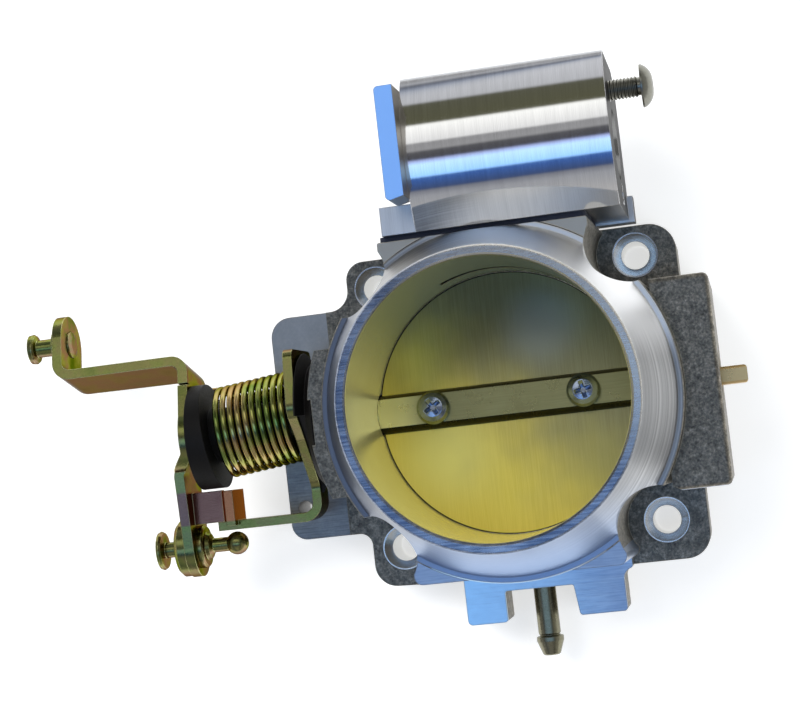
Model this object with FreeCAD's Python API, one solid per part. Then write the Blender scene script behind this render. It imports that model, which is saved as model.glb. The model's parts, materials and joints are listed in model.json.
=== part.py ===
import FreeCAD, Part
import math
import os

# Throttle body: single-bore cable throttle body with an idle-air housing.
# Millimetres. +Z is the bore axis, pointing out of the air horn.
# The origin is the bore centre on the flange's mounting face.
# +X is the throttle-sensor side, -X the linkage side, +Y the idle-air side.

V = FreeCAD.Vector

# Driving dimensions of the casting
bore_r = 31.0
lip_r = 33.45
lip_z = 74.0
deck_z = 50.0
ring_step = 1.0
ring_r = 41.4
horn_base_r = 40.0
flange_t = 14.0
bolt_half = 32.3
bolt_hole_r = 3.4
bolt_sink_r = 5.2
pocket_r = 9.4
core_half = 24.3
rear_y = 39.2
front_y = -39.8
lug_z = 16.0
pad_left_x = -60.5
pad_z = 13.0
pad_half = 27.9
sensor_face_x = 49.5
boss_x = -44.2
boss_r = 13.0

# Shaft, plate and their fits
shaft_z = 32.0
shaft_r = 4.75
run_gap = 0.05
seat_r = 7.0
closed_deg = 7.0
plate_t = 1.6
plate_gap = 0.06
flat_h = 3.3
screw_x = 17.8

# Idle-air housing
gasket_t = 1.2
housing_y = rear_y + gasket_t
housing_back_y = 76.0
housing_x0 = -14.6
housing_x1 = 32.2
housing_z0 = 16.0
crown_z = 57.5
shoulder_z = 50.5
screw_seat_y = housing_y + 2.4
idle_bore_r = 7.2
idle_bore_y = 56.2
idle_bore_z = 37.0

# Linkage
plate_thick = 2.4
hub_x = -77.9
low_x = -81.3
ear_r = 7.2
ear_reach = 27.8
crank_x = -110.0
arm_drop = 14.0
low_drop = 10.0
low_reach = 26.8
spring_wire_r = 0.75
spring_mean_r = 10.4
spring_pitch = 1.8
spring_turns = 9.7
spring_x0 = -69.7
spring_start = -90.0
spring_lean = 6.5
bracket_x = -49.8
bracket_t = 2.2
stop_y = -22.0
stop_z = 28.5
spool_x0 = -48.6


def box(x0, x1, y0, y1, z0, z1):
    return Part.makeBox(x1 - x0, y1 - y0, z1 - z0, V(x0, y0, z0))


def rod(x0, x1, r, y=0.0, z=shaft_z):
    return Part.makeCylinder(r, x1 - x0, V(x0, y, z), V(1, 0, 0))


def post(x, y, r, z0, z1):
    return Part.makeCylinder(r, z1 - z0, V(x, y, z0))


def outline(corners):
    # Closed face in the XY plane. Each corner is (x, y, fillet radius).
    edges = []
    n = len(corners)
    joints = []
    for i in range(n):
        p = V(corners[i][0], corners[i][1], 0)
        a = V(corners[i - 1][0], corners[i - 1][1], 0).sub(p)
        b = V(corners[(i + 1) % n][0], corners[(i + 1) % n][1], 0).sub(p)
        r = corners[i][2]
        if r <= 0:
            joints.append((p, None, p))
            continue
        a.normalize()
        b.normalize()
        half = a.getAngle(b) / 2.0
        back = r / math.tan(half)
        start = p.add(V(a).multiply(back))
        end = p.add(V(b).multiply(back))
        middle = a.add(b)
        middle.normalize()
        centre = p.add(V(middle).multiply(r / math.sin(half)))
        top = centre.sub(V(middle).multiply(r))
        joints.append((start, top, end))
    for i in range(n):
        start, top, end = joints[i]
        if top is not None:
            edges.append(Part.Arc(start, top, end).toShape())
        nxt = joints[(i + 1) % n][0]
        if end.distanceToPoint(nxt) > 1e-6:
            edges.append(Part.makeLine(end, nxt))
    return Part.Face(Part.Wire(edges))


def prism_z(corners, z0, z1):
    face = outline(corners)
    face.translate(V(0, 0, z0))
    return face.extrude(V(0, 0, z1 - z0))


def prism_x(corners, x0, x1):
    # Corners are (y, z, radius) and the prism runs along X.
    face = outline(corners)
    face.Placement = FreeCAD.Placement(V(x0, 0, 0), FreeCAD.Rotation(V(0, 1, 0), V(0, 0, 1), V(1, 0, 0)))
    return face.extrude(V(x1 - x0, 0, 0))


def turned(profile, origin, direction):
    # Solid of revolution. The profile is (distance along the axis, radius).
    points = [V(r, 0, a) for a, r in profile]
    points = [V(0, 0, profile[0][0])] + points + [V(0, 0, profile[-1][0])]
    clean = [points[0]]
    for p in points[1:]:
        if p.distanceToPoint(clean[-1]) > 1e-6:
            clean.append(p)
    wire = Part.makePolygon(clean + [clean[0]])
    solid = Part.Face(wire).revolve(V(0, 0, 0), V(0, 0, 1), 360)
    solid.Placement = FreeCAD.Placement(origin, FreeCAD.Rotation(V(0, 0, 1), direction))
    return solid


def bent_strip(path, thick, z0, z1):
    # Strip of constant thickness standing on edge. The path is (x, y, bend radius at mid thickness).
    left = []
    right = []
    n = len(path)
    for i in range(n):
        p = V(path[i][0], path[i][1], 0)
        ahead = None
        behind = None
        if i < n - 1:
            ahead = V(path[i + 1][0], path[i + 1][1], 0).sub(p)
            ahead.normalize()
        if i > 0:
            behind = p.sub(V(path[i - 1][0], path[i - 1][1], 0))
            behind.normalize()
        first = behind or ahead
        second = ahead or behind
        normal = V(-first.y - second.y, first.x + second.x, 0)
        normal.normalize()
        stretch = (thick / 2.0) / (normal.dot(V(-first.y, first.x, 0)))
        turn = first.cross(second).z
        r = path[i][2]
        inner = max(r - thick / 2.0, 0.0) if r > 0 else 0.0
        outer = r + thick / 2.0 if r > 0 else 0.0
        a = p.add(V(normal).multiply(stretch))
        b = p.sub(V(normal).multiply(stretch))
        left.append((a.x, a.y, inner if turn > 0 else outer))
        right.append((b.x, b.y, outer if turn > 0 else inner))
    return prism_z(left + right[::-1], z0, z1)


def fuse(solids):
    result = solids[0].fuse(solids[1:])
    return result.removeSplitter()


def save(name, shape):
    shape.exportStep("parts/" + name + ".step")


def swing(shape, degrees):
    # Turn about the throttle shaft axis. Positive opens the throttle.
    copy = shape.copy()
    copy.rotate(V(0, 0, shaft_z), V(1, 0, 0), -degrees)
    return copy


def bolt_centres():
    return [(sx * bolt_half, sy * bolt_half) for sx in (-1, 1) for sy in (-1, 1)]


def flange():
    right = 42.3
    corners = [
        (-39.6, 39.4, 4.5),
        (right, 39.4, 6.5),
        (right, -42.1, 6.0),
        (20.6, -42.1, 3.0),
        (20.6, -39.0, 0),
        (-18.4, -39.0, 0),
        (-18.4, -42.2, 3.0),
        (-40.3, -41.4, 5.5),
        (-40.3, -pad_half, 3.0),
        (pad_left_x, -pad_half, 4.0),
        (pad_left_x, pad_half, 5.0),
        (-39.6, pad_half, 5.0),
    ]
    return prism_z(corners[::-1], 0, flange_t)


def sensor_lugs():
    # Machined front strip with two lugs for a pressure sensor and a notch between them.
    corners = [
        (-18.4, -36.0, 0),
        (23.0, -36.0, 0),
        (23.0, -42.6, 0.8),
        (20.6, -43.6, 2.5),
        (20.6, -52.9, 0.8),
        (9.1, -52.9, 0.8),
        (8.2, -45.4, 0.6),
        (-8.6, -45.4, 0.6),
        (-8.6, -52.9, 0.8),
        (-18.4, -52.9, 1.2),
        (-18.4, -42.2, 0),
    ]
    return prism_z(corners[::-1], 3.0, lug_z)


def barrel():
    core_low = outline([
        (-core_half - 0.9, front_y - 0.6, 2.0),
        (core_half + 0.9, front_y - 0.6, 2.0),
        (core_half + 0.9, rear_y, 0.5),
        (-core_half - 0.9, rear_y, 0.5),
    ]).OuterWire
    core_high = outline([
        (-core_half, front_y, 2.0),
        (core_half, front_y, 2.0),
        (core_half, rear_y, 0.5),
        (-core_half, rear_y, 0.5),
    ]).OuterWire
    core_high.translate(V(0, 0, deck_z))
    core = Part.makeLoft([core_low, core_high], True, True)
    round_part = Part.makeCone(ring_r + 1.2, ring_r, deck_z, V(0, 0, 0))
    round_part = round_part.common(box(-60, 60, -60, rear_y, -1, 80))
    ledge = post(0, 0, 45.2, 38, deck_z - 1.2).common(box(-60, -30, -18, 16.5, 0, 80))
    return [core, round_part, ledge]


def horn():
    # Flared air horn, hollowed later by the bore.
    high = V(lip_r, 0, lip_z - 0.4)
    low = V(horn_base_r, 0, deck_z + ring_step)
    flare = Part.Arc(high, V(35.9, 0, 61.8), low).toShape()
    points = [low, V(ring_r - 0.3, 0, deck_z + ring_step), V(ring_r, 0, deck_z + ring_step - 0.3),
              V(ring_r, 0, deck_z - 1), V(0, 0, deck_z - 1), V(0, 0, lip_z), V(lip_r - 0.4, 0, lip_z), high]
    wire = Part.Wire([flare] + [Part.makeLine(points[i], points[i + 1]) for i in range(len(points) - 1)])
    solid = Part.Face(wire).revolve(V(0, 0, 0), V(0, 0, 1), 360)
    return solid.common(box(-60, 60, -60, rear_y, 0, 80))


def sensor_block():
    block = prism_z([
        (36.0, 23.6, 0),
        (36.0, -24.8, 0),
        (sensor_face_x, -24.8, 1.5),
        (sensor_face_x, 23.6, 1.5),
    ], 5.0, 45.0)
    top = [e for e in block.Edges if e.BoundBox.ZMin > 44.9 and e.BoundBox.XMax > 37]
    return block.makeFillet(1.2, top)


def shaft_boss():
    boss = rod(boss_x, -34.0, boss_r)
    web = box(boss_x, -34.0, -9.5, 9.5, 6.0, shaft_z)
    return [boss, web]


def throttle_body():
    body = fuse([flange(), sensor_lugs(), horn(), sensor_block()] + barrel() + shaft_boss())
    cuts = [post(0, 0, bore_r, -1, lip_z + 1)]
    cuts.append(Part.makeCone(bore_r, bore_r + 0.6, 0.6, V(0, 0, lip_z - 0.59)))
    cuts.append(box(pad_left_x - 1, -45.7, -40, 40, pad_z, flange_t + 1))
    cuts.append(post(-56.5, -20.0, 1.75, -1, flange_t + 1))
    for x, y in bolt_centres():
        cuts.append(post(x, y, bolt_hole_r, -1, flange_t + 1))
        cuts.append(Part.makeCone(bolt_hole_r, bolt_sink_r + 0.1, 1.9, V(x, y, flange_t - 1.8)))
        cuts.append(post(x, y, pocket_r, flange_t, lip_z))
    # Shaft bore, bearing seats and the recess around the drive tang
    cuts.append(rod(-46, 51, shaft_r + run_gap + 0.45))
    cuts.append(rod(-46, -36.5, seat_r))
    cuts.append(rod(39.5, 51, seat_r))
    # Tapped holes: throttle sensor, pressure sensor, idle-air housing
    for y, z in ((17.0, 36.5), (-17.0, 27.5)):
        cuts.append(rod(sensor_face_x - 10, 51, 2.0, y, z))
    for x in (-13.5, 14.9):
        cuts.append(Part.makeCylinder(2.1, 12, V(x, -53.5, 9.5), V(0, 1, 0)))
    for x, z in housing_screw_places():
        cuts.append(Part.makeCylinder(2.55, 11, V(x, rear_y + 0.5, z), V(0, -1, 0)))
    # Vacuum port, idle-air inlet slot above the plate and outlet below it
    cuts.append(Part.makeCylinder(2.5, 20, V(0.4, -46, 9.5), V(0, 1, 0)))
    cuts.append(box(-12, 16, 26, rear_y + 1, 39.5, 43.0))
    cuts.append(Part.makeCylinder(6, 15, V(2, rear_y + 1, 19), V(0, -1, 0)))
    # Tapped holes for the bracket screws
    for y, z in bracket_screw_places():
        cuts.append(rod(-46, -37, 1.65, y, z))
    # Clearance round the spring spool
    cuts.append(rod(-46, -44.15, 17.6))
    return body.cut(cuts)


def housing_screw_places():
    return [(-18.0, 23.5), (-18.0, 43.5), (20.0, 22.0)]


def bracket_screw_places():
    return [(7.6, shaft_z + 7.4), (7.6, shaft_z - 7.4)]


def iac_housing():
    turn_y = housing_back_y - 9.0
    section = [V(housing_x0, housing_y, housing_z0), V(housing_x0, turn_y, housing_z0)]
    low = Part.makeLine(section[0], section[1])
    curl = Part.Arc(section[1], V(housing_x0, turn_y + 9 * math.sin(math.radians(45)),
                    25 - 9 * math.cos(math.radians(45))), V(housing_x0, housing_back_y, 25)).toShape()
    back = Part.makeLine(V(housing_x0, housing_back_y, 25), V(housing_x0, housing_back_y, shoulder_z))
    crown = Part.Arc(V(housing_x0, housing_back_y, shoulder_z), V(housing_x0, 58.6, crown_z),
                     V(housing_x0, housing_y, shoulder_z + 1)).toShape()
    front = Part.makeLine(V(housing_x0, housing_y, shoulder_z + 1), section[0])
    block = Part.Face(Part.Wire([low, curl, back, crown, front])).extrude(V(housing_x1 - housing_x0, 0, 0))
    foot = box(-22.6, housing_x0, housing_y, 47.0, housing_z0, shoulder_z + 1)
    tab = box(24.0, 33.6, 39.7, 46.0, 14.6, 20.0)
    shape = fuse([block, foot, tab])
    cuts = [rod(-8, 33, idle_bore_r, idle_bore_y, idle_bore_z)]
    cuts.append(Part.makeCone(idle_bore_r, idle_bore_r + 1.2, 1.2,
                V(housing_x1 - 1.19, idle_bore_y, idle_bore_z), V(1, 0, 0)))
    cuts.append(rod(-12.5, -7, 4.5, idle_bore_y, idle_bore_z))
    # Inlet slot into the idle bore and outlet port from its seat
    cuts.append(box(-6, 16, housing_y - 1, idle_bore_y, 39.5, 43.0))
    cuts.append(Part.makeCylinder(4.5, 22, V(-8, housing_y - 1, 21), V(0, 1, 0)))
    cuts.append(Part.makeCylinder(4.5, 16, V(-8, idle_bore_y, 21), V(0, 0, 1)))
    for y, z in idle_screw_places():
        cuts.append(rod(housing_x1 - 12, housing_x1 + 1, 2.55, y, z))
    for x, z in housing_screw_places():
        cuts.append(Part.makeCylinder(2.7, 10, V(x, housing_y - 1, z), V(0, 1, 0)))
        depth = 5.0 if x < 0 else 40.0
        cuts.append(Part.makeCylinder(4.3, depth, V(x, screw_seat_y, z), V(0, 1, 0)))
    return shape.cut(cuts)


def idle_screw_places():
    return [(68.4, 40.0), (44.8, 34.0)]


def iac_end_cap():
    outer_x = housing_x0 - 4.2
    cap = prism_z([
        (outer_x, 46.6, 1.0),
        (housing_x0, 47.6, 0),
        (housing_x0, 72.8, 0),
        (outer_x, 72.8, 1.0),
    ], shoulder_z + 1.1, 63.0)
    lower = box(outer_x, housing_x0, 53.0, 72.8, 27.0, shoulder_z + 1.1)
    return fuse([cap, lower])


def iac_gasket():
    corners = [(-23.7, 16.0, 1.5), (24.0, 16.0, 1.5), (24.0, 49.6, 1.5), (-23.7, 49.6, 1.5)]
    sheet = prism_z(corners, 0, gasket_t)
    sheet.rotate(V(0, 0, 0), V(1, 0, 0), 90)
    sheet.translate(V(0, rear_y + gasket_t, 0))
    cuts = [box(-12, 16, rear_y - 1, housing_y + 1, 39.5, 43.0)]
    cuts.append(Part.makeCylinder(6, 4, V(2, rear_y - 1, 19), V(0, 1, 0)).fuse(
        Part.makeCylinder(4.5, 4, V(-8, rear_y - 1, 21), V(0, 1, 0))))
    cuts.append(box(-8, 2, rear_y - 1, housing_y + 1, 16.9, 24.6))
    for x, z in housing_screw_places():
        cuts.append(Part.makeCylinder(2.7, 4, V(x, rear_y - 1, z), V(0, 1, 0)))
    return sheet.cut(cuts)


def cap_screw(x, z):
    # Socket cap screw whose head rests in the idle-air housing.
    head = turned([(0, 4.0), (3.6, 4.0), (4.0, 3.6)], V(x, screw_seat_y, z), V(0, 1, 0))
    shank = Part.makeCylinder(2.5, 12, V(x, screw_seat_y, z), V(0, -1, 0))
    socket = prism_z([(2.3 * math.cos(k * math.pi / 3), 2.3 * math.sin(k * math.pi / 3), 0)
                      for k in range(6)], 0, 3)
    along_y = FreeCAD.Rotation(V(0, 0, 1), V(0, 1, 0))
    socket.Placement = FreeCAD.Placement(V(x, screw_seat_y + 1.6, z), along_y)
    return head.fuse(shank).cut(socket)


def iac_housing_screws():
    return Part.makeCompound([cap_screw(x, z) for x, z in housing_screw_places()])


def iac_retaining_screw():
    # Button-head screw, threaded part of the way into the housing's end face.
    y, z = idle_screw_places()[0]
    under_head = 39.6
    profile = [(-9.0, 1.9)]
    pitch = 0.8
    count = 19
    for k in range(count):
        a = -9.0 + 0.4 + k * pitch
        profile.append((a, 2.1))
        profile.append((a + pitch / 2.0, 2.5))
    profile.append((-9.0 + 0.4 + count * pitch, 2.1))
    profile.append((under_head - housing_x1, 2.1))
    shank = turned(profile, V(housing_x1, y, z), V(1, 0, 0))
    start = V(0, 0, 0)
    rim = V(5.0, 0, 0)
    edge = V(5.0, 0, 0.4)
    crown = Part.Arc(edge, V(3.7, 0, 2.0), V(1.6, 0, 2.75)).toShape()
    wire = Part.Wire([Part.makeLine(start, rim), Part.makeLine(rim, edge), crown,
                      Part.makeLine(V(1.6, 0, 2.75), V(0, 0, 2.75)), Part.makeLine(V(0, 0, 2.75), start)])
    head = Part.Face(wire).revolve(V(0, 0, 0), V(0, 0, 1), 360)
    socket = prism_z([(1.7 * math.cos(k * math.pi / 3), 1.7 * math.sin(k * math.pi / 3), 0)
                      for k in range(6)], 1.0, 4.0)
    head = head.cut(socket)
    head.Placement = FreeCAD.Placement(V(under_head, y, z), FreeCAD.Rotation(V(0, 0, 1), V(1, 0, 0)))
    return shank.fuse(head)


def throttle_shaft():
    shaft = rod(-79.0, 48.6, shaft_r)
    square = box(-79.2, -76.6, -3.2, 3.2, shaft_z - 3.2, shaft_z + 3.2)
    neck = rod(-79.2, -76.6, shaft_r + 1).cut(square)
    tang = prism_z([(47.0, -2.05, 0), (55.6, -2.05, 0.8), (55.6, 2.05, 0.8), (47.0, 2.05, 0)],
                   shaft_z - 4.2, shaft_z + 4.2)
    tang = tang.common(rod(46, 57, shaft_r - 0.3))
    shaft = shaft.cut([neck]).fuse(tang)
    reach = bore_r - 0.1
    above = box(-reach, reach, -8, 8, shaft_z + flat_h, shaft_z + 8)
    below = box(-reach, reach, -8, 8, shaft_z - 8, shaft_z - flat_h - 0.1)
    half_slot = plate_t / 2 + 0.05
    slot = box(-bore_r - 0.2, bore_r + 0.2, -8, 8, shaft_z - half_slot, shaft_z + half_slot)
    holes = [post(x, 0, 2.05, shaft_z - 8, shaft_z + 8) for x in (-screw_x, screw_x)]
    return shaft.cut([swing(s, closed_deg) for s in [above, below, slot] + holes])


def throttle_plate():
    slab = swing(box(-40, 40, -40, 40, shaft_z - plate_t / 2, shaft_z + plate_t / 2), closed_deg)
    plate = slab.common(post(0, 0, bore_r - plate_gap, 10, 60))
    holes = [swing(post(x, 0, 2.1, shaft_z - 8, shaft_z + 8), closed_deg) for x in (-screw_x, screw_x)]
    return plate.cut(holes)


def plate_screw(x, turn):
    head = turned([(0, 3.95), (0.9, 3.95), (1.8, 3.4), (2.4, 2.4), (2.6, 1.2)],
                  V(x, 0, shaft_z + flat_h), V(0, 0, 1))
    shank = post(x, 0, 2.0, shaft_z - 4.4, shaft_z + flat_h)
    arm = box(-2.3, 2.3, -0.5, 0.5, 0, 3).fuse(box(-0.5, 0.5, -2.3, 2.3, 0, 3))
    arm = arm.common(Part.makeCone(0.6, 2.6, 1.9, V(0, 0, 0)))
    arm.rotate(V(0, 0, 0), V(0, 0, 1), turn)
    arm.translate(V(x, 0, shaft_z + flat_h + 0.95))
    return swing(head.fuse(shank).cut(arm), closed_deg)


def plate_screws():
    return Part.makeCompound([plate_screw(-screw_x, 32), plate_screw(screw_x, 12)])


def bearing(x0, x1):
    return rod(x0, x1, seat_r - 0.02).cut(rod(x0 - 1, x1 + 1, shaft_r + run_gap))


def shaft_seal():
    return rod(46.6, 48.9, seat_r - 0.1).cut(rod(46, 50, shaft_r + run_gap))


def spring_spool():
    # Black spacer with a vee groove between the casting's boss and the bracket.
    width = boss_x - spool_x0
    profile = [(0, 16.8), (0.4, 17.2), (2.1, 14.2), (width - 0.4, 16.6), (width, 16.3)]
    spool = turned(profile, V(spool_x0, 0, shaft_z), V(1, 0, 0))
    cuts = [rod(-51, -43, shaft_r + run_gap)]
    for y, z in bracket_screw_places():
        cuts.append(rod(-51, -43, 2.15, y, z))
    # Relief above the bracket's lower arm
    cuts.append(prism_x([(2.0, 60.0, 0), (2.0, 44.0, 0), (-3.4, 38.6, 0), (-14.5, stop_z - 0.6, 0),
                         (-30.0, stop_z - 0.6, 0), (-30.0, 60.0, 0)], spool_x0 - 1, -46.4))
    return spool.cut(cuts)


def spring_bracket():
    # Fixed plate: upright at the boss, lower arm bent outward, its end turned back as the closed stop.
    path = [(bracket_x, 18.0, 0), (bracket_x, stop_y, 3.6), (-75.0, stop_y, 0)]
    strip = bent_strip(path, bracket_t, 10, 60)
    side = prism_x([(18.0, 24.0, 2.0), (18.0, 43.6, 2.5), (3.0, 46.0, 4.0), (-3.4, 39.2, 3.0),
                    (-14.5, stop_z, 3.0), (-26.0, stop_z, 0), (-26.0, stop_z - 8.0, 0),
                    (6.0, stop_z - 8.0, 4.0)], -90, -30)
    stop = box(-72.2, -70.0, stop_y, -13.4, stop_z - 8.0, stop_z + 2.6)
    shape = strip.common(side).fuse(stop).removeSplitter()
    face = bracket_x - bracket_t / 2
    cuts = [rod(-60, -44, 5.3)]
    for y, z in bracket_screw_places():
        cuts.append(rod(-60, -44, 2.15, y, z))
        cuts.append(Part.makeCone(3.9, 2.1, 1.8, V(face - 0.01, y, z), V(1, 0, 0)))
    # Notch that holds the spring's fixed end
    cuts.append(box(-53, -46, 14.4, 16.4, 20.0, 26.2))
    return shape.cut(cuts)


def bracket_screws():
    screws = []
    face = bracket_x - bracket_t / 2
    profile = [(0, 3.75), (0.1, 3.75), (1.8, 2.0), (2.1, 1.6), (13.0, 1.6)]
    for y, z in bracket_screw_places():
        screw = turned(profile, V(face, y, z), V(1, 0, 0))
        slot = box(face - 1, face + 0.7, y - 0.45, y + 0.45, z - 3, z + 3)
        screws.append(screw.cut(slot))
    return Part.makeCompound(screws)


def tube_between(points, r):
    solids = []
    for a, b in zip(points, points[1:]):
        run = b.sub(a)
        solids.append(Part.makeCylinder(r, run.Length, a, run))
    for p in points[:-1]:
        solids.append(Part.makeSphere(r, p))
    return solids


def return_spring():
    # Left-hand torsion spring, cocked a little on its sleeve, with a leg at each end.
    height = spring_pitch * spring_turns
    helix = Part.makeHelix(spring_pitch, height, spring_mean_r, 0, True)
    slope = spring_pitch / (2 * math.pi * spring_mean_r)
    start = Part.Wire(Part.makeCircle(spring_wire_r, V(spring_mean_r, 0, 0), V(0, -1, slope)))
    coil = Part.Wire(helix.Edges).makePipeShell([start], True, True)
    coil.Placement = FreeCAD.Placement(V(0, 0, 0), FreeCAD.Rotation(V(0, 1, 0), V(0, 0, 1), V(1, 0, 0)))
    coil.rotate(V(0, 0, 0), V(1, 0, 0), spring_start)
    coil.rotate(V(0, 0, 0), V(0, 0, 1), spring_lean)
    coil.translate(V(spring_x0, 0.5, shaft_z))
    # The outer leg lies under the lever's upper arm, the inner leg in the bracket's notch
    outer = [coil_point(0), V(-69.9, 9.0, 21.0), V(-71.6, 11.5, 20.1), V(-78.8, 11.5, 20.1)]
    inner = [coil_point(spring_turns), V(-53.0, 14.6, 27.6), V(-52.4, 15.4, 25.2), V(-48.75, 15.4, 25.2)]
    return coil.fuse(tube_between(outer, spring_wire_r) + tube_between(inner, spring_wire_r))


def coil_point(turns):
    angle = math.radians(spring_start - 360.0 * turns)
    p = V(spring_pitch * turns, spring_mean_r * math.cos(angle), spring_mean_r * math.sin(angle))
    p = FreeCAD.Rotation(V(0, 0, 1), spring_lean).multVec(p)
    return p.add(V(spring_x0, 0.5, shaft_z))


def spring_sleeve():
    # Black guide inside the spring with a cup that backs the spring's outer end.
    tube = rod(-74.0, -52.3, 6.6)
    cup = rod(-76.4, -70.0, 12.7)
    lean = box(-72.1, -60, -20, 20, 0, 64)
    lean.rotate(V(-72.1, 0, 0), V(0, 0, 1), 5.5)
    sleeve = cup.cut(lean).fuse(tube).removeSplitter()
    return sleeve.cut(rod(-80, -50, shaft_r + 0.02))


def throttle_lever():
    # Stamped lever: a cranked upper arm with an ear, a joggled lower arm with an ear and a stop tab.
    plate = bent_strip([(hub_x, 13.0, 0), (hub_x, -4.0, 3.0), (low_x, -8.2, 3.0), (low_x, -36.0, 0)],
                       plate_thick, -10, 70)
    low_y, low_z = lower_ear()
    hub = rod(-90, -70, 9.0)
    low_arm = prism_x([(0, shaft_z + 8.0, 0), (-7, 36.6, 4), (low_y, low_z + ear_r, 0),
                       (low_y, low_z - ear_r, 0), (-7, 23.0, 4), (0, shaft_z - 8.0, 0)], -90, -70)
    low_disc = rod(-90, -70, ear_r, low_y, low_z)
    up_arm = prism_x([(0, 40.5, 0), (16.0, 39.7, 0), (16.0, 24.3, 0), (0, 23.5, 0)], -90, -70)
    up_arm = swing(up_arm, arm_drop)
    mask = hub.fuse([low_arm, low_disc, up_arm])
    plate = plate.common(mask)
    # The crank is drawn level with the shaft axis, then swung down with the upper arm
    crank = bent_strip([(hub_x, 10.0, 0), (hub_x, 17.9, 3.0), (crank_x, 17.9, 3.2), (crank_x, 40.0, 0)],
                       plate_thick, 0, 64)
    taper = prism_z([(-130, -7.2, 0), (-104, -7.2, 0), (-77, -7.7, 0), (-70, -7.7, 0), (-70, 7.6, 0),
                     (-77, 7.6, 0), (-104, 7.2, 0), (-130, 7.2, 0)], 10, 45)
    taper.rotate(V(0, 0, 0), V(1, 0, 0), 90)
    taper.translate(V(0, 50, shaft_z))
    ear_shape = rod(-130, -105, ear_r, ear_reach, shaft_z)
    below_ear = box(-130, -60, -10, ear_reach, 0, 64)
    crank = crank.common(taper).common(below_ear.fuse(ear_shape))
    crank = crank.common(box(-130, -60, 12.0, 60, 0, 64))
    crank = swing(crank, arm_drop)
    tab = box(low_x, -72.6, -20.9, -13.2, stop_z + 0.3, stop_z + 2.6)
    lever = fuse([plate, crank, tab])
    ear_y, ear_z = upper_ear()
    cuts = [box(-90, -70, -3.22, 3.22, shaft_z - 3.22, shaft_z + 3.22)]
    cuts.append(rod(-90, -70, 2.0, low_y, low_z))
    cuts.append(rod(-130, -105, 2.0, ear_y, ear_z))
    return lever.cut(cuts)


def upper_ear():
    drop = math.radians(arm_drop)
    return ear_reach * math.cos(drop), shaft_z - ear_reach * math.sin(drop)


def lower_ear():
    drop = math.radians(low_drop)
    return -low_reach * math.cos(drop), shaft_z - low_reach * math.sin(drop)


def cable_stud():
    # Headed stud on the upper ear, pointing away from the bore.
    y, z = upper_ear()
    face = -(crank_x - plate_thick / 2)
    profile = [(0, 3.9), (1.6, 3.9), (2.2, 2.2), (6.2, 2.2), (6.5, 3.4), (7.0, 3.75), (8.0, 3.6), (8.4, 2.6)]
    stud = turned(profile, V(-face, y, z), V(-1, 0, 0))
    tail = rod(-face, crank_x + plate_thick / 2, 1.95, y, z)
    rivet = turned([(0, 3.4), (0.4, 3.2), (0.8, 2.0)], V(crank_x + plate_thick / 2, y, z), V(1, 0, 0))
    return stud.fuse([tail, rivet]).removeSplitter()


def link_stud():
    # Grooved stud on the lower ear, pointing away from the bore.
    y, z = lower_ear()
    profile = [(0, 6.9), (2.0, 6.9), (2.9, 6.0), (3.0, 2.4), (3.6, 1.9), (6.6, 1.9), (6.8, 4.4), (7.4, 4.75),
               (8.0, 4.5), (8.4, 3.2)]
    stud = turned(profile, V(low_x - plate_thick / 2, y, z), V(-1, 0, 0))
    tail = rod(low_x - plate_thick / 2, low_x, 1.95, y, z)
    return stud.fuse(tail).removeSplitter()


def ball_stud():
    y, z = lower_ear()
    face = low_x + plate_thick / 2
    ball_x = -71.0
    profile = [(0, 5.2), (1.2, 5.2), (1.6, 4.8), (1.7, 3.4), (2.6, 3.0), (3.2, 1.9)]
    collar = turned(profile, V(face, y, z), V(1, 0, 0))
    shank = rod(face, ball_x, 1.75, y, z)
    ball = Part.makeSphere(2.8, V(ball_x, y, z))
    tail = rod(low_x, face, 1.95, y, z)
    return collar.fuse([shank, ball, tail]).removeSplitter()


def vacuum_nipple():
    profile = [(-8.0, 2.45), (0.0, 2.45), (0.2, 2.75), (11.6, 2.75), (12.0, 2.4), (12.4, 3.35), (13.4, 3.35),
               (16.6, 2.2), (16.9, 1.9)]
    nipple = turned(profile, V(0.4, -45.4, 9.5), V(0, -1, 0))
    return nipple.cut(Part.makeCylinder(1.3, 30, V(0.4, -35, 9.5), V(0, -1, 0)))


os.makedirs("parts", exist_ok=True)
save("throttle_body", throttle_body())
save("iac_housing", iac_housing())
save("iac_end_cap", iac_end_cap())
save("iac_gasket", iac_gasket())
save("iac_housing_screws", iac_housing_screws())
save("iac_retaining_screw", iac_retaining_screw())
save("throttle_shaft", throttle_shaft())
save("throttle_plate", throttle_plate())
save("plate_screws", plate_screws())
save("shaft_bearing_left", bearing(boss_x, -36.6))
save("shaft_bearing_right", bearing(39.6, 46.5))
save("shaft_seal", shaft_seal())
save("spring_spool", spring_spool())
save("spring_bracket", spring_bracket())
save("bracket_screws", bracket_screws())
save("return_spring", return_spring())
save("spring_sleeve", spring_sleeve())
save("throttle_lever", throttle_lever())
save("cable_stud", cable_stud())
save("link_stud", link_stud())
save("ball_stud", ball_stud())
save("vacuum_nipple", vacuum_nipple())
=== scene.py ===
import bpy
import json
import math
from mathutils import Matrix, Vector


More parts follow.
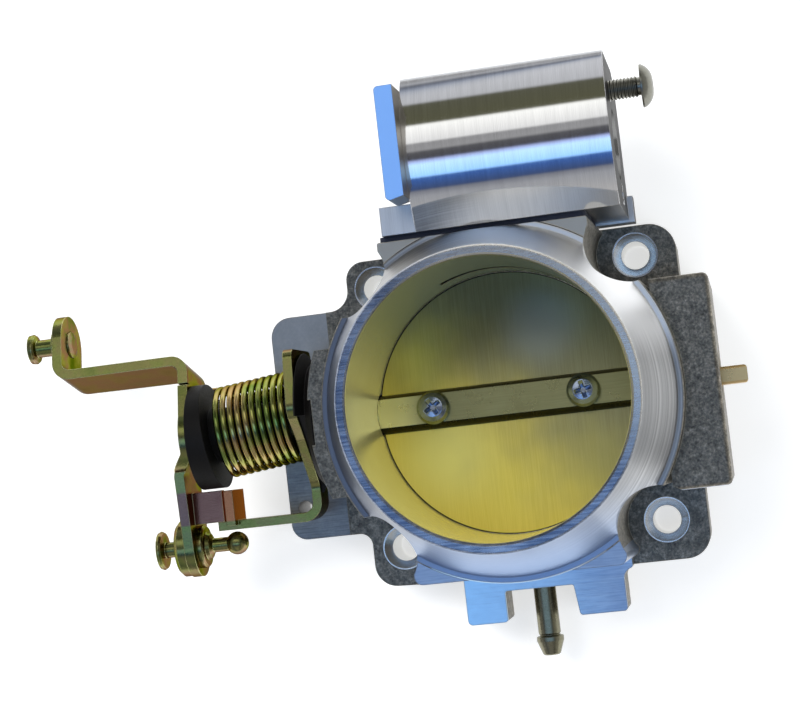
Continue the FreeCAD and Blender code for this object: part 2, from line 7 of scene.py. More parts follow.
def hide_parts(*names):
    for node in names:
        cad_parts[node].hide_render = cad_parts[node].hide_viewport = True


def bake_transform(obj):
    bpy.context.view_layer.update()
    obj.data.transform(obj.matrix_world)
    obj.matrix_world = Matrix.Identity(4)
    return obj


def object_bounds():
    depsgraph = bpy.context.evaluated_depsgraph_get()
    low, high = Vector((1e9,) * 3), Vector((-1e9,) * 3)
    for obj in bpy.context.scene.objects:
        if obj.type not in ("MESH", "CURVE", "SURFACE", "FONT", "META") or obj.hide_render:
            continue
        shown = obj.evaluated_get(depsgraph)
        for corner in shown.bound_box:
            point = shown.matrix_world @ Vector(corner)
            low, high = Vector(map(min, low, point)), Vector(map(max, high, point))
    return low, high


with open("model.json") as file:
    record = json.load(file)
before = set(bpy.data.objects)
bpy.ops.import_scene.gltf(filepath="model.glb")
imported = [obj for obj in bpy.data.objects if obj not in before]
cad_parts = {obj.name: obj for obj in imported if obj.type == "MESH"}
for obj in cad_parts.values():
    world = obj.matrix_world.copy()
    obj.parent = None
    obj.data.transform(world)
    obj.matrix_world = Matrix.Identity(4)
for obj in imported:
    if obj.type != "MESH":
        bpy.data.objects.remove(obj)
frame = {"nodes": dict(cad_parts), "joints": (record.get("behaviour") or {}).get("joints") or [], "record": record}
cad_low, cad_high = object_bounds()
MM = 0.001
LIP_Z = cad_high.z / MM
BOLT_HALF = 32.3


class Graph:
    """Builds one node tree. Numbers go to sockets as they are, and sockets are linked."""

    def __init__(self, owner):
        owner.use_nodes = True
        self.tree = owner.node_tree
        self.tree.nodes.clear()

    def node(self, kind, **settings):
        made = self.tree.nodes.new(kind)
        for key, value in settings.items():
            setattr(made, key, value)
        return made

    def put(self, socket, value):
        if isinstance(value, bpy.types.NodeSocket):
            self.tree.links.new(value, socket)
        elif isinstance(value, (tuple, list)) and len(value) == 3 and socket.type == "RGBA":
            socket.default_value = (*value, 1.0)
        else:
            socket.default_value = value

    def math(self, operation, a, b=0.0, c=0.0, clamp=False):
        made = self.node("ShaderNodeMath", operation=operation, use_clamp=clamp)
        for socket, value in zip(made.inputs, (a, b, c)):
            self.put(socket, value)
        return made.outputs[0]

    def add(self, a, b):
        return self.math("ADD", a, b)

    def mul(self, a, b):
        return self.math("MULTIPLY", a, b)

    def step(self, value, low, high):
        """0 below low, 1 above high, smooth between."""
        made = self.node("ShaderNodeMapRange", interpolation_type="SMOOTHSTEP")
        for socket, item in zip(made.inputs, (value, low, high, 0.0, 1.0)):
            self.put(socket, item)
        return made.outputs[0]

    def fit(self, value, low, high, to_low, to_high):
        made = self.node("ShaderNodeMapRange")
        for socket, item in zip(made.inputs, (value, low, high, to_low, to_high)):
            self.put(socket, item)
        return made.outputs[0]

    def mix(self, factor, a, b):
        made = self.node("ShaderNodeMix", data_type="RGBA")
        self.put(made.inputs[0], factor)
        self.put(made.inputs[6], a)
        self.put(made.inputs[7], b)
        return made.outputs[2]

    def blend(self, factor, a, b):
        made = self.node("ShaderNodeMix", data_type="FLOAT")
        self.put(made.inputs[0], factor)
        self.put(made.inputs[2], a)
        self.put(made.inputs[3], b)
        return made.outputs[0]

    def length(self, a, b):
        return self.math("POWER", self.add(self.mul(a, a), self.mul(b, b)), 0.5)

    def all(self, *masks):
        """Product of masks."""
        result = masks[0]
        for mask in masks[1:]:
            result = self.mul(result, mask)
        return result

    def within(self, value, low, high, soft=0.2):
        """1 between low and high, with edges soft millimetres wide just outside them."""
        return self.mul(self.step(value, low - soft, low), self.step(value, high + soft, high))

    def spot(self, x, y, centre, reach):
        """1 at the centre in plan, falling to 0 at reach millimetres."""
        dx = self.math("SUBTRACT", x, centre[0])
        dy = self.math("SUBTRACT", y, centre[1])
        return self.step(self.length(dx, dy), reach, reach * 0.12)

    def ramp(self, value, stops):
        """Colour ramp from a list of (place, colour)."""
        made = self.node("ShaderNodeValToRGB")
        elements = made.color_ramp.elements
        while len(elements) < len(stops):
            elements.new(0.5)
        for element, (place, colour) in zip(elements, stops):
            element.position = place
            element.color = (*colour, 1.0)
        self.put(made.inputs[0], value)
        return made.outputs[0]

    def place(self, stretch=(1, 1, 1), turn=(0, 0, 0)):
        coords = self.node("ShaderNodeTexCoord").outputs["Object"]
        mapping = self.node("ShaderNodeMapping")
        self.put(mapping.inputs[0], coords)
        mapping.inputs["Rotation"].default_value = turn
        mapping.inputs["Scale"].default_value = stretch
        return mapping.outputs[0]

    def noise(self, size, detail=3.0, rough=0.5, stretch=(1, 1, 1), turn=(0, 0, 0), seed=0.0):
        """Noise from 0 to 1 whose grain is about size millimetres."""
        made = self.node("ShaderNodeTexNoise", noise_dimensions="4D")
        self.put(made.inputs["Vector"], self.place(stretch, turn))
        made.inputs["W"].default_value = seed
        made.inputs["Scale"].default_value = 1.0 / (size * MM)
        made.inputs["Detail"].default_value = detail
        made.inputs["Roughness"].default_value = rough
        return made.outputs[0]

    def position(self):
        """Object coordinates in millimetres, as three sockets."""
        split = self.node("ShaderNodeSeparateXYZ")
        self.put(split.inputs[0], self.place((1000, 1000, 1000)))
        return split.outputs

    def normal(self):
        split = self.node("ShaderNodeSeparateXYZ")
        self.put(split.inputs[0], self.node("ShaderNodeTexCoord").outputs["Normal"])
        return split.outputs

    def edge(self, radius):
        """(rounded normal, edge mask) from a bevel of that radius in millimetres."""
        bevel = self.node("ShaderNodeBevel", samples=6)
        bevel.inputs["Radius"].default_value = radius * MM
        dot = self.node("ShaderNodeVectorMath", operation="DOT_PRODUCT")
        self.put(dot.inputs[0], bevel.outputs[0])
        self.put(dot.inputs[1], self.node("ShaderNodeNewGeometry").outputs["Normal"])
        return bevel.outputs[0], self.step(dot.outputs["Value"], 0.995, 0.86)

    def bump(self, height, depth, normal=None):
        """Height runs from 0 to 1 over depth millimetres."""
        made = self.node("ShaderNodeBump")
        made.inputs["Strength"].default_value = 1.0
        made.inputs["Distance"].default_value = depth * MM
        self.put(made.inputs["Height"], height)
        if normal is not None:
            self.put(made.inputs["Normal"], normal)
        return made.outputs[0]


def surface(name, recipe):
    """A material with one Principled shader. The recipe returns its socket values."""
    material = bpy.data.materials.new(name)
    g = Graph(material)
    shader = g.node("ShaderNodeBsdfPrincipled")
    output = g.node("ShaderNodeOutputMaterial")
    for key, value in recipe(g).items():
        g.put(shader.inputs[key], value)
    g.put(output.inputs[0], shader.outputs[0])
    return material


def casting(g):
    x, y, z = g.position()
    ny, nz = g.normal()[1:]
    radius = g.length(x, y)
    rounded, edge = g.edge(0.35)

    # Sand-cast skin: dark, warm, speckled with brighter grains
    coarse = g.noise(1.7, 4, 0.6, seed=1.0)
    fine = g.noise(0.55, 3, 0.6, seed=2.0)
    cast = g.ramp(g.add(g.mul(coarse, 0.45), g.mul(fine, 0.55)), [
        (0.34, (0.11, 0.105, 0.095)), (0.50, (0.25, 0.235, 0.20)), (0.60, (0.41, 0.375, 0.31)),
        (0.74, (0.78, 0.69, 0.56))])
    cast_height = g.add(g.mul(coarse, 0.5), g.mul(fine, 0.5))
    # Lighter edges: painted edge highlight
    cast = g.mix(g.mul(edge, 0.75), cast, (0.62, 0.60, 0.50))

    # Machined faces: fine straight cutter lines, with a blue tint that is a painted sky reflection
    lines = g.noise(0.30, 2, 0.5, stretch=(0.05, 1, 1), seed=3.0)
    cloud = g.noise(9.0, 3, 0.5, seed=4.0)
    grain = g.add(g.mul(lines, 0.6), g.mul(cloud, 0.5))
    milled = g.mix(g.step(grain, 0.35, 0.75), (0.33, 0.40, 0.55), (0.66, 0.72, 0.82))

    # Turned horn: concentric tool marks, a glare on one side, and blue and dark reflections on the others
    rings = g.noise(0.22, 2, 0.5, stretch=(0.0, 0.0, 1.0), seed=5.0)
    across = g.node("ShaderNodeTexNoise", noise_dimensions="1D")
    g.put(across.inputs["W"], radius)
    across.inputs["Scale"].default_value = 2.2
    across.inputs["Detail"].default_value = 2.0
    marks = g.add(g.mul(rings, 0.5), g.mul(across.outputs[0], 0.5))
    turned = g.mix(g.step(marks, 0.35, 0.7), (0.34, 0.34, 0.34), (0.58, 0.58, 0.58))
    diagonal = g.add(x, y)
    glare = g.mul(g.step(diagonal, 22.0, 40.0), g.step(y, 4.0, 14.0))
    turned = g.mix(glare, turned, (0.92, 0.92, 0.92))
    turned = g.mix(g.mul(g.step(diagonal, -10.0, -40.0), 0.35), turned, (0.10, 0.11, 0.13))
    turned = g.mix(g.step(y, -18.0, -40.0), turned, (0.36, 0.48, 0.70))
    turned = g.mix(g.step(x, -22.0, -36.0), turned, (0.20, 0.225, 0.28))

    # Where each finish lies, in millimetres
    pad = g.step(x, -45.6, -45.8)
    lug = g.mul(g.step(y, -36.0, -36.2), g.step(z, 14.6, 15.0))
    front = g.mul(g.step(ny, -0.85, -0.95), g.step(z, 16.0, 17.0))
    deck = g.all(g.step(nz, 0.85, 0.97), g.step(z, 49.4, 49.7), g.step(z, 51.4, 51.2))
    from_bolt_x = g.math("SUBTRACT", g.math("ABSOLUTE", x), BOLT_HALF)
    from_bolt_y = g.math("SUBTRACT", g.math("ABSOLUTE", y), BOLT_HALF)
    sink = g.mul(g.step(g.length(from_bolt_x, from_bolt_y), 5.6, 5.45), g.step(z, 21.0, 20.0))
    horn = g.mul(g.step(z, 50.85, 50.95), g.step(radius, 31.5, 31.6))
    lip = g.step(z, LIP_Z - 0.5, LIP_Z - 0.3)
    slot = g.all(g.step(radius, 31.1, 31.2), g.step(y, 24.0, 25.0),
                 g.within(z, 39.4, 43.1), g.within(x, -12.1, 16.1))
    bore = g.step(radius, 31.15, 31.05)

    # Colours of the machined finishes, with painted reflections, highlights and shade mixed in
    # Painted shadow: the pad turns darker towards -Y
    pad_in_shade = g.mix(lines, (0.14, 0.14, 0.13), (0.52, 0.53, 0.56))
    pad_colour = g.mix(cloud, (0.38, 0.38, 0.38), (0.62, 0.62, 0.62))
    pad_colour = g.mix(g.step(y, -2.0, -14.0), pad_colour, pad_in_shade)
    # Painted sky reflection: the lugs are bright cyan on the left, fading to a darker painted-shade blue on the
    # right
    shaded_lug = g.mix(0.4, milled, (0.24, 0.30, 0.40))
    lug_colour = g.mix(g.fit(x, -18.0, 18.0, 0.0, 1.0), (0.52, 0.76, 0.95), shaded_lug)
    # The deck is darkened towards blue as a painted sky reflection, and turns lighter and warmer towards +Y
    deck_colour = g.mix(0.45, milled, (0.26, 0.32, 0.44))
    deck_colour = g.mix(g.step(y, 0.0, 30.0), deck_colour, (0.62, 0.58, 0.50))
    # The lip is painted dark blue as a painted sky reflection, with a painted highlight towards the upper right
    lip_colour = g.mix(g.step(grain, 0.4, 0.75), (0.11, 0.15, 0.24), (0.42, 0.46, 0.55))
    lip_colour = g.mix(g.step(diagonal, 0.0, 40.0), lip_colour, (0.72, 0.70, 0.65))
    # The bore wall is yellow as a painted reflection of the brass plate, and darker towards +Y as painted shade
    bore_painted_light = g.mix(cloud, (0.86, 0.80, 0.34), (0.95, 0.90, 0.45))
    bore_painted_light = g.mix(g.step(y, 4.0, 24.0), bore_painted_light, (0.30, 0.30, 0.19))

    # Each row is (mask, colour, roughness, height)
    machined = [
        (g.mul(pad, 0.8), pad_colour, 0.42, lines),
        (lug, lug_colour, 0.30, lines),
        (front, milled, 0.33, lines),
        (deck, deck_colour, 0.34, lines),
        (sink, (0.84, 0.84, 0.82), 0.24, marks),
        (horn, turned, 0.44, g.mul(marks, 2.0)),
        (lip, lip_colour, 0.27, lines),
        # The idle slot is painted near black: painted shade in the recess
        (slot, (0.015, 0.015, 0.012), 0.6, lines),
        (bore, bore_painted_light, 0.20, rings),
    ]
    colour = cast
    rough = g.fit(fine, 0.3, 0.7, 0.62, 0.46)
    height = cast_height
    for mask, its_colour, its_rough, its_height in machined:
        colour = g.mix(mask, colour, its_colour)
        rough = g.blend(mask, rough, its_rough)
        height = g.blend(mask, height, g.mul(its_height, 0.12))
    return {
        "Base Color": colour,
        "Metallic": g.fit(bore, 0.0, 1.0, 1.0, 0.45),
        "Roughness": g.add(rough, g.fit(g.noise(1.4, 3, seed=6.0), 0, 1, -0.05, 0.05)),
        "Anisotropic": 0.35,
        "Tangent": g.node("ShaderNodeTangent", direction_type="RADIAL", axis="Z").outputs[0],
        "Normal": g.bump(height, 0.16, rounded),
    }


def billet(g):
    rounded, edge = g.edge(0.3)
    z = g.position()[2]
    nx, _, nz = g.normal()
    streak = g.noise(0.16, 2, 0.6, stretch=(1, 0.02, 0.02), seed=7.0)
    broad = g.noise(1.6, 2, 0.5, stretch=(1, 0.05, 0.05), seed=8.0)
    marks = g.add(g.mul(streak, 0.6), g.mul(broad, 0.4))
    # The crown is polished, the foot and the upright sides are only milled
    foot = g.mul(g.step(nz, 0.9, 0.97), g.step(z, 53.0, 52.0))
    side = g.step(nz, 0.35, 0.15)
    end = g.step(nx, 0.45, 0.60)
    lines = g.noise(0.35, 3, 0.6, stretch=(1, 1, 0.04), seed=24.0)
    patch = g.noise(9.0, 3, 0.6, seed=25.0)
    milled = g.mix(g.add(g.mul(lines, 0.6), g.mul(patch, 0.4)), (0.26, 0.27, 0.29), (0.56, 0.57, 0.60))
    colour = g.mix(g.step(marks, 0.3, 0.7), (0.80, 0.80, 0.80), (0.93, 0.93, 0.93))
    colour = g.mix(side, colour, milled)
    # The end face is painted dark grey, and its specular tint is lowered below: painted shade
    colour = g.mix(end, colour, g.mix(patch, (0.12, 0.12, 0.12), (0.30, 0.30, 0.29)))
    rough = g.blend(side, g.fit(marks, 0.2, 0.8, 0.05, 0.10), g.fit(lines, 0.2, 0.8, 0.26, 0.38))
    return {
        # Lighter edges: painted edge highlight
        "Base Color": g.mix(g.mul(edge, 0.6), colour, (0.95, 0.95, 0.95)),
        "Metallic": 1.0,
        "Specular Tint": g.mix(end, (1.0, 1.0, 1.0), (0.22, 0.22, 0.22)),
        "Roughness": g.blend(foot, rough, 0.40),
        "Normal": g.bump(g.blend(side, marks, g.mul(lines, 4.0)), 0.002, rounded),
    }


def end_cap(g):
    rounded, edge = g.edge(0.3)
    grain = g.noise(0.25, 2, 0.5, seed=9.0)
    top = g.step(g.normal()[2], 0.85, 0.97)
    # Painted reflections: the sides a warm brown and the top sky blue; the edges are darkened
    side = g.mix(grain, (0.30, 0.27, 0.23), (0.46, 0.43, 0.38))
    colour = g.mix(top, side, g.mix(grain, (0.20, 0.43, 0.93), (0.25, 0.49, 0.98)))
    return {
        "Base Color": g.mix(g.mul(edge, 0.5), colour, (0.10, 0.10, 0.12)),
        "Metallic": g.fit(top, 0.0, 1.0, 1.0, 0.45),
        "Roughness": g.fit(grain, 0.3, 0.7, 0.34, 0.44),
        "Normal": g.bump(grain, 0.01, rounded),
    }


def brass(g):
    x, y = g.position()[:2]
    streak = g.noise(0.18, 2, 0.6, stretch=(1, 0.02, 0.02), seed=10.0)
    cloud = g.noise(14.0, 2, 0.5, seed=11.0)
    # Painted shade sweeps from the lower left towards the upper right: lit brass gives way to shaded brass
    along = g.add(g.mul(x, 0.62), g.mul(y, 0.78))
    brass_shade_sweep = g.step(g.add(along, g.mul(g.math("SUBTRACT", cloud, 0.5), 26.0)), -24.0, 16.0)
    lit_brass = g.mix(g.step(streak, 0.35, 0.7), (0.93, 0.76, 0.12), (1.0, 0.83, 0.16))
    shaded_brass = g.mix(g.step(streak, 0.35, 0.7), (0.28, 0.27, 0.14), (0.34, 0.33, 0.18))
    # Thin near-black ring at the plate's edge: painted shadow in the gap to the bore
    rim_shadow = g.step(g.length(x, y), 30.65, 30.75)
    # Painted highlight at the lower left
    lit_brass = g.mix(g.spot(x, y, (-17.0, -10.0), 18.0), lit_brass, (1.0, 0.90, 0.24))
    # Darker patch at the lower right
    lit_brass = g.mix(g.spot(x, y, (26.0, -14.0), 22.0), lit_brass, (0.62, 0.56, 0.15))
    # Bluish painted highlight at the upper right
    shaded_brass = g.mix(g.spot(x, y, (9.0, 17.0), 13.0), shaded_brass, (0.38, 0.41, 0.34))
    return {
        "Base Color": g.mix(rim_shadow, g.mix(brass_shade_sweep, lit_brass, shaded_brass), (0.03, 0.03, 0.02)),
        "Metallic": 0.85,
        "Roughness": g.fit(streak, 0.2, 0.8, 0.30, 0.42),
        "Normal": g.bump(streak, 0.008),
    }


def ground_steel(colour_a, colour_b, rough, size=0.25, stretch=(0.03, 1, 1), depth=0.01, radius=0.25):
    def recipe(g):
        rounded, edge = g.edge(radius)
        streak = g.noise(size, 2, 0.6, stretch=stretch, seed=12.0)
        cloud = g.noise(5.0, 3, 0.6, seed=13.0)
        colour = g.mix(g.add(g.mul(streak, 0.6), g.mul(cloud, 0.4)), colour_a, colour_b)
        # Lighter edges: painted edge highlight
        light = tuple(min(1.0, c * 1.5 + 0.1) for c in colour_b)
        return {
            "Base Color": g.mix(g.mul(edge, 0.6), colour, light),
            "Metallic": 1.0,
            "Roughness": g.fit(cloud, 0.3, 0.7, rough - 0.05, rough + 0.06),
            "Normal": g.bump(streak, depth, rounded),
        }
    return recipe


def plated(colour_a, colour_b, rough, size):
    """Plated steel: a fine grain with no direction."""
    return ground_steel(colour_a, colour_b, rough, size, (1, 1, 1), 0.02)


def yellow_zinc(g):
    rounded, edge = g.edge(0.3)
    x, y = g.position()[:2]
    ny, nz = g.normal()[1:]
    cloud = g.noise(7.0, 3, 0.6, seed=14.0)
    grain = g.noise(0.35, 3, 0.6, seed=15.0)
    film = g.ramp(cloud, [
        (0.30, (0.14, 0.20, 0.05)), (0.45, (0.34, 0.35, 0.10)), (0.55, (0.36, 0.22, 0.14)),
        (0.64, (0.24, 0.25, 0.10)), (0.74, (0.12, 0.20, 0.06))])
    # Painted shade by facing: faces turned to -Y a darker pink-brown, upward faces a darker olive
    side = g.mix(cloud, (0.22, 0.14, 0.11), (0.27, 0.20, 0.14))
    colour = g.mix(g.mul(g.step(g.mul(ny, -1.0), 0.5, 0.9), 0.8), film, side)
    top = g.mix(cloud, (0.13, 0.17, 0.045), (0.30, 0.31, 0.10))
    colour = g.mix(g.mul(g.step(nz, 0.4, 0.9), 0.75), colour, top)
    # The stop tab and the plate it meets carry a copper tint; the brighter orange over the stop plate is a painted
    # reflection
    across = g.mul(g.step(x, -84.0, -83.0), g.step(x, -69.3, -69.6))
    tab = g.mul(across, g.mul(g.step(y, -21.2, -20.6), g.step(y, -12.5, -13.2)))
    copper_tint_and_glint = g.mix(cloud, (0.20, 0.09, 0.07), (0.34, 0.19, 0.14))
    copper_tint_and_glint = g.mix(g.step(x, -73.0, -72.4), copper_tint_and_glint, (0.50, 0.20, 0.09))
    colour = g.mix(tab, colour, copper_tint_and_glint)
    # Lighter yellow edges: painted edge highlight
    colour = g.mix(g.mul(edge, 0.75), colour, (0.90, 0.90, 0.46))
    return {
        "Base Color": colour,
        "Metallic": 1.0,
        "Specular Tint": (0.32, 0.28, 0.25),
        "Roughness": g.fit(grain, 0.3, 0.7, 0.15, 0.25),
        "Normal": g.bump(g.add(g.mul(grain, 0.7), g.mul(cloud, 0.3)), 0.03, rounded),
    }


def wire(g):
    cloud = g.noise(6.0, 2, 0.5, seed=16.0)
    grain = g.noise(0.2, 2, 0.5, seed=17.0)
    return {
        "Base Color": g.ramp(cloud, [(0.35, (0.20, 0.28, 0.07)), (0.5, (0.42, 0.42, 0.13)),
                                     (0.65, (0.54, 0.38, 0.17))]),
        "Metallic": 1.0,
        "Specular Tint": (0.25, 0.24, 0.18),
        "Roughness": g.fit(grain, 0.3, 0.7, 0.12, 0.20),
        "Normal": g.bump(grain, 0.01),
    }


def plastic(g):
    rounded, edge = g.edge(0.3)
    grain = g.noise(0.4, 3, 0.6, seed=18.0)
    cloud = g.noise(6.0, 3, 0.6, seed=19.0)
    colour = g.mix(cloud, (0.002, 0.002, 0.002), (0.008, 0.007, 0.006))
    return {
        # Slightly lighter edges: painted edge sheen
        "Base Color": g.mix(g.mul(edge, 0.3), colour, (0.028, 0.028, 0.028)),
        "Specular IOR Level": 0.18,
        "Roughness": g.fit(grain, 0.3, 0.7, 0.45, 0.62),
        "Normal": g.bump(grain, 0.02, rounded),
    }


def gasket_fibre(g):
    grain = g.noise(0.3, 3, 0.7, seed=20.0)
    return {
        "Base Color": g.mix(grain, (0.006, 0.008, 0.016), (0.03, 0.035, 0.055)),
        "Roughness": g.fit(grain, 0.3, 0.7, 0.65, 0.85),
        "Normal": g.bump(grain, 0.05),
    }


def shaft_steel(g):
    x = g.position()[0]
    ny = g.normal()[1]
    rounded, edge = g.edge(0.12)
    streak = g.noise(0.25, 2, 0.6, stretch=(0.03, 1, 1), seed=22.0)
    cloud = g.noise(5.0, 3, 0.6, seed=23.0)
    colour = g.mix(g.add(g.mul(streak, 0.6), g.mul(cloud, 0.4)), (0.20, 0.20, 0.09), (0.38, 0.38, 0.20))
    # Painted highlight: bright yellow towards the left end
    colour = g.mix(g.step(x, -18.0, -26.0), colour, (1.0, 0.97, 0.46))
    # Painted shade: faces turned to -Y near black, faces turned to +Y darker
    colour = g.mix(g.step(ny, -0.25, -0.55), colour, (0.04, 0.04, 0.025))
    colour = g.mix(g.step(ny, 0.25, 0.55), colour, (0.16, 0.15, 0.08))
    colour = g.mix(g.step(x, 47.0, 48.0), colour, g.mix(cloud, (0.72, 0.48, 0.20), (0.84, 0.62, 0.30)))
    return {
        # Lighter edges: painted edge highlight
        "Base Color": g.mix(g.mul(edge, 0.5), colour, (0.82, 0.78, 0.50)),
        "Metallic": 0.9,
        "Roughness": g.fit(cloud, 0.3, 0.7, 0.24, 0.34),
        "Normal": g.bump(streak, 0.008, rounded),
    }


FINISHES = {
    "cast_aluminium": surface("cast_aluminium_machined", casting),
    "billet_aluminium": surface("billet_brushed", billet),
    "gasket_black": surface("gasket_fibre", gasket_fibre),
    "screw_steel": surface("screw_zinc", plated((0.20, 0.25, 0.36), (0.50, 0.57, 0.70), 0.17, 0.5)),
    "dark_steel": surface("screw_dark", plated((0.16, 0.16, 0.13), (0.36, 0.35, 0.30), 0.30, 0.5)),
    "shaft_steel": surface("shaft_ground", shaft_steel),
    "brass_plate": surface("plate_brass", brass),
    "bearing_steel": surface("bearing_ground", ground_steel((0.45, 0.45, 0.45), (0.6, 0.6, 0.6), 0.2)),
    "seal_rubber": surface("seal_rubber_black", plastic),
    "black_plastic": surface("plastic_moulded", plastic),
    "yellow_zinc": surface("zinc_yellow", yellow_zinc),
    "nipple_steel": surface("nipple_plated", plated((0.14, 0.13, 0.08), (0.36, 0.34, 0.24), 0.28, 0.6)),
}
CAP = surface("end_cap_milled", end_cap)
WIRE = surface("spring_wire", wire)

for subpart in frame["record"]["subparts"]:
    node = frame["nodes"][subpart["node"]]
    for slot in node.material_slots:
        slot.material = FINISHES[subpart["material_slot"]]
for slot in frame["nodes"]["iac_end_cap"].material_slots:
    slot.material = CAP


def sweep(name, path, radius, sides=12, material=None):
    """Round wire along a list of points, closed at both ends."""
    verts = []
    faces = []
    ahead = (path[1] - path[0]).normalized()
    up = ahead.orthogonal().normalized()
    for i, p in enumerate(path):
        before = path[max(i - 1, 0)]
        after = path[min(i + 1, len(path) - 1)]
        ahead = (after - before).normalized()
        up = (up - ahead * up.dot(ahead)).normalized()
        side = ahead.cross(up)
        for k in range(sides):
            a = 2 * math.pi * k / sides
            verts.append(p + (up * math.cos(a) + side * math.sin(a)) * radius)
    for i in range(len(path) - 1):
        for k in range(sides):
            m = (k + 1) % sides
            faces.append((i * sides + k, i * sides + m, (i + 1) * sides + m, (i + 1) * sides + k))
    faces.append(tuple(range(sides))[::-1])
    last = (len(path) - 1) * sides
    faces.append(tuple(last + k for k in range(sides)))
    mesh = bpy.data.meshes.new(name)
    mesh.from_pydata(verts, [], faces)
    mesh.materials.append(material)
    for polygon in mesh.polygons:
        polygon.use_smooth = len(polygon.vertices) == 4
    mesh.update()
    made = bpy.data.objects.new(name, mesh)
    bpy.context.scene.collection.objects.link(made)
    return made


# Torsion spring: on the real part the coil winds tighter as the lever opens; this coil is built in one pose
SHAFT_Z = frame["joints"][0]["pos_m"][2]
LEAN = math.radians(6.5)


# Return spring, in millimetres and turns
COIL_RADIUS = 10.4
COIL_PITCH = 1.8
COIL_TURNS = 9.7
COIL_START = (-69.7, 0.5)
WIRE_RADIUS = 0.75
LEG_BEND = 1.2
STEPS_PER_TURN = 56


def coil_point(turns):
    """Place on the coil's centre line, in metres. The coil starts at the bottom, at the lever's end."""
    angle = math.radians(-90.0 - 360.0 * turns)
    p = Vector((COIL_PITCH * turns, COIL_RADIUS * math.cos(angle), COIL_RADIUS * math.sin(angle)))
    p = Matrix.Rotation(LEAN, 3, "Z") @ p
    return Vector((p.x + COIL_START[0], p.y + COIL_START[1], p.z)) * MM + Vector((0, 0, SHAFT_Z))


def rounded_path(points, bend, steps=6):
    """The polyline with each inner corner turned into a curve that starts bend metres before it."""
    path = [points[0]]
    for a, p, b in zip(points, points[1:], points[2:]):
        start = p + (a - p).normalized() * min(bend, (a - p).length * 0.45)
        end = p + (b - p).normalized() * min(bend, (b - p).length * 0.45)
        for k in range(steps + 1):
            t = k / steps
            path.append(start * (1 - t) ** 2 + p * 2 * t * (1 - t) + end * t ** 2)
    path.append(points[-1])
    return path


def spring_path():
    """Outer leg, coil and inner leg. The coil stops just short of the points where the legs join it."""
    join, gap = 0.03, 0.04
    outer = [Vector(p) * MM for p in ((-78.8, 11.5, 20.1), (-71.6, 11.5, 20.1), (-69.9, 9.0, 21.0))]
    inner = [Vector(p) * MM for p in ((-53.0, 14.6, 27.6), (-52.4, 15.4, 25.2), (-48.75, 15.4, 25.2))]
    start = rounded_path(outer + [coil_point(0), coil_point(join)], LEG_BEND * MM)[:-1]
    last = [coil_point(COIL_TURNS - join), coil_point(COIL_TURNS)]
    end = rounded_path(last + inner, LEG_BEND * MM)[1:]
    count = int(COIL_TURNS * STEPS_PER_TURN)
    coil = [coil_point(gap + (COIL_TURNS - 2 * gap) * k / count) for k in range(count + 1)]
    return start + coil + end


spring = sweep("return_spring_wire", spring_path(), WIRE_RADIUS * MM, 14, WIRE)
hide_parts("return_spring")
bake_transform(spring)


def studio():
    world = bpy.data.worlds.new("studio")
    bpy.context.scene.world = world
    g = Graph(world)
    split = g.node("ShaderNodeSeparateXYZ")
    g.put(split.inputs[0], g.node("ShaderNodeTexCoord").outputs["Generated"])
    x, y, z = split.outputs
    lean_y = g.mul(g.math("ARCTAN2", y, z), 180 / math.pi)
    lean_x = g.mul(g.math("ARCTAN2", x, z), 180 / math.pi)

    def band(value, stops):
        """Sky colours by lean from straight up, in degrees."""
        return g.ramp(g.fit(value, -90, 90, 0, 1), [((a + 90) / 180, c) for a, c in stops])

    stripes = band(lean_y, [
        (-88, (0.50, 0.50, 0.50)), (-62, (0.52, 0.51, 0.50)), (-34, (0.34, 0.35, 0.38)),
        (-28.5, (0.20, 0.21, 0.25)), (-27, (0.05, 0.08, 0.18)), (-16, (0.05, 0.13, 0.42)),
        (-14.5, (0.42, 0.80, 1.40)), (-3, (0.66, 1.00, 1.45)), (0.5, (0.45, 0.52, 0.90)),
        (2.5, (0.07, 0.07, 0.08)), (9, (0.10, 0.10, 0.11)), (11, (0.34, 0.34, 0.35)),
        (17.5, (0.30, 0.30, 0.31)), (19, (0.85, 0.85, 0.85)), (35.5, (1.15, 1.15, 1.12)),
        (37.5, (0.10, 0.10, 0.06)), (58, (0.10, 0.10, 0.07)), (61, (0.52, 0.53, 0.56)),
        (88, (0.66, 0.67, 0.71)),
    ])
    sides = band(lean_x, [
        (-88, (0.30, 0.30, 0.31)), (-62, (0.42, 0.43, 0.46)), (-48, (0.14, 0.15, 0.18)),
        (-30, (0.20, 0.25, 0.36)), (30, (0.20, 0.20, 0.20)), (45, (0.10, 0.10, 0.10)),
        (60, (0.50, 0.50, 0.48)), (88, (0.40, 0.40, 0.40)),
    ])
    wide = g.step(g.math("ABSOLUTE", lean_x), 18.0, 45.0)
    sky = g.mix(wide, stripes, sides)
    is_camera = g.node("ShaderNodeLightPath").outputs["Is Camera Ray"]
    seen = g.mix(is_camera, sky, (0.93, 0.93, 0.93))
    background = g.node("ShaderNodeBackground")
    g.put(background.inputs[0], seen)
    g.put(g.node("ShaderNodeOutputWorld").inputs[0], background.outputs[0])


LIGHT_TARGET = (0, 0, 0.03)


def lamp(name, place, energy, colour, width, depth):
    """Soft rectangular lamp aimed at the part, with no mirror image of its own."""
    data = bpy.data.lights.new(name, "AREA")
    data.energy = energy
    data.color = colour
    data.shape = "RECTANGLE"
    data.size = width
    data.size_y = depth
    made = bpy.data.objects.new(name, data)
    made.location = place
    made.rotation_mode = "QUATERNION"
    made.rotation_quaternion = (Vector(LIGHT_TARGET) - Vector(place)).to_track_quat("-Z", "Y")
    made.visible_camera = False
    made.visible_glossy = False
    bpy.context.scene.collection.objects.link(made)


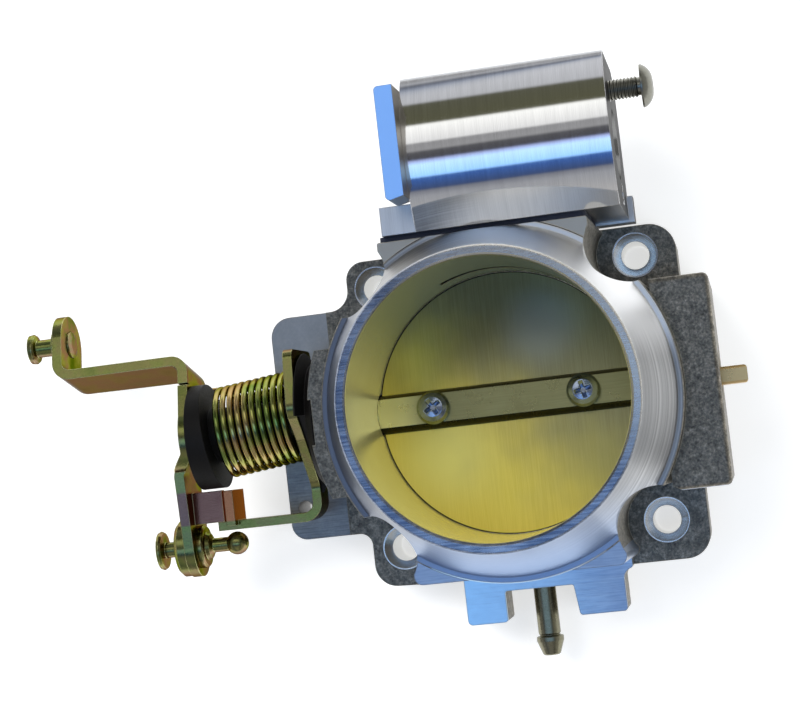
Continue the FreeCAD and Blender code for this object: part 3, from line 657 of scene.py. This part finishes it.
studio()
lamp("key", (-0.35, 0.38, 0.85), 7.0, (1.0, 0.98, 0.95), 0.6, 0.5)
lamp("fill", (0.60, -0.30, 0.70), 3.0, (0.95, 0.97, 1.0), 0.7, 0.5)


FLOOR_GAP = 0.0002


def floor():
    """Round sheet of paper just under the part."""
    mesh = bpy.data.meshes.new("floor")
    n = 48
    rings = [0.3, 1.0, 4.0]
    verts = [(0, 0, 0)]
    faces = []
    for r in rings:
        for k in range(n):
            turn = 2 * math.pi * k / n
            verts.append((r * math.cos(turn), r * math.sin(turn), 0))
    for k in range(n):
        m = (k + 1) % n
        faces.append((0, 1 + k, 1 + m))
        for ring in range(len(rings) - 1):
            a = 1 + ring * n
            faces.append((a + k, a + n + k, a + n + m, a + m))
    mesh.from_pydata(verts, [], faces)
    made = bpy.data.objects.new("floor", mesh)
    made.location = (0, 0, cad_low.z - FLOOR_GAP)
    bpy.context.scene.collection.objects.link(made)

    def paper(g):
        grain = g.noise(1.5, 3, 0.6, seed=21.0)
        return {
            "Base Color": g.mix(grain, (0.62, 0.62, 0.62), (0.66, 0.66, 0.66)),
            "Roughness": 0.9,
            "Specular IOR Level": 0.1,
            "Emission Color": (0.97, 0.97, 0.95),
            "Emission Strength": 0.62,
        }

    mesh.materials.append(surface("floor_paper", paper))


floor()

# Camera: looks down the bore from the sensor side, a little off the axis
SENSOR_WIDTH = 36.0
FOCAL_LENGTH = 87.01065
camera_data = bpy.data.cameras.new("camera")
camera = bpy.data.objects.new("camera", camera_data)
bpy.context.scene.collection.objects.link(camera)
bpy.context.scene.camera = camera
right = Vector((0.9773, -0.1123, -0.1795))
up = Vector((0.121, 0.9919, 0.0388))
camera.matrix_world = Matrix.Translation((0.055311, -0.012548, 0.485734)) @ Matrix(
    (right, up, right.cross(up))).transposed().to_4x4()
camera_data.sensor_width = SENSOR_WIDTH
camera_data.lens = FOCAL_LENGTH
camera_data.clip_start = 0.01
camera_data.clip_end = 20.0

bpy.context.scene.view_settings.view_transform = "Standard"
